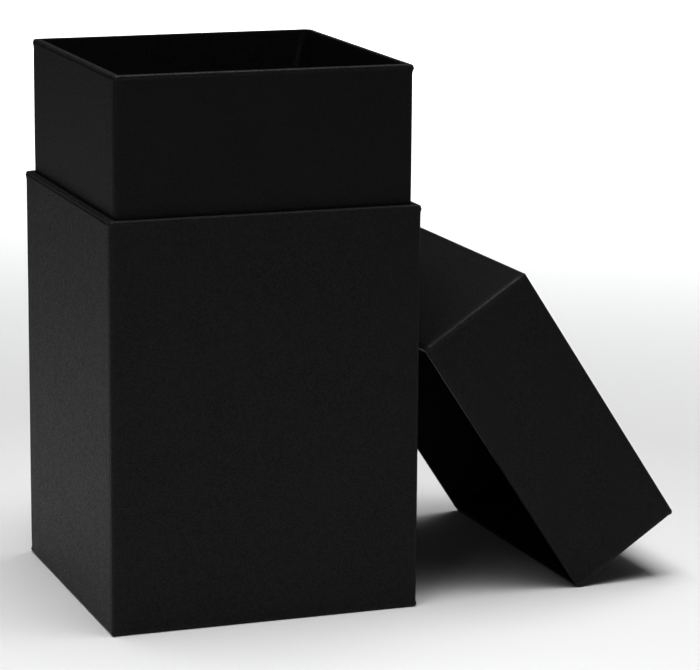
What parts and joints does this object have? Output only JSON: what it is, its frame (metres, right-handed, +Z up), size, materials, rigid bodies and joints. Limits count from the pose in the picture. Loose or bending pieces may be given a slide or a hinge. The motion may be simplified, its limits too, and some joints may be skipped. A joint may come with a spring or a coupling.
{
  "type": "rigid neck box",
  "caption": "Tall square paper-covered rigid box with an inner neck and a separate lift-off lid that leans against its side.",
  "frame": {"origin": "centre of the base's underside, on the surface the box stands on", "axes": "+Z up; +X from the base towards the leaning lid, along the longest extent; +Y to the back"},
  "size_m": [0.1938, 0.1048, 0.1757],
  "materials": {
    "wrap_paper": "black embossed covering paper, satin",
    "neck_paper": "black embossed covering paper, satin",
    "lining_paper": "black smooth lining paper, matte",
    "greyboard": "raw grey chipboard",
    "corner_tape": "brown gummed kraft tape"
  },
  "bodies": {
    "base": {"base_board": "greyboard", "base_wrap": "wrap_paper", "base_stay_front_left": "corner_tape", "base_stay_front_right": "corner_tape", "base_stay_back_right": "corner_tape", "base_stay_back_left": "corner_tape", "base_floor_liner": "lining_paper", "neck_board": "greyboard", "neck_joint_tape": "corner_tape", "neck_wrap": "neck_paper", "neck_lining": "lining_paper"},
    "lid": {"lid_board": "greyboard", "lid_wrap": "wrap_paper", "lid_stay_front_low": "corner_tape", "lid_stay_front_high": "corner_tape", "lid_stay_back_high": "corner_tape", "lid_stay_back_low": "corner_tape", "lid_liner": "lining_paper"}
  },
  "joints": [
    {"name": "lid_lift", "type": "slide", "parent": "base", "child": "lid", "axis": [0, 0, 1], "range_m": [0, 0.2]}
  ]
}
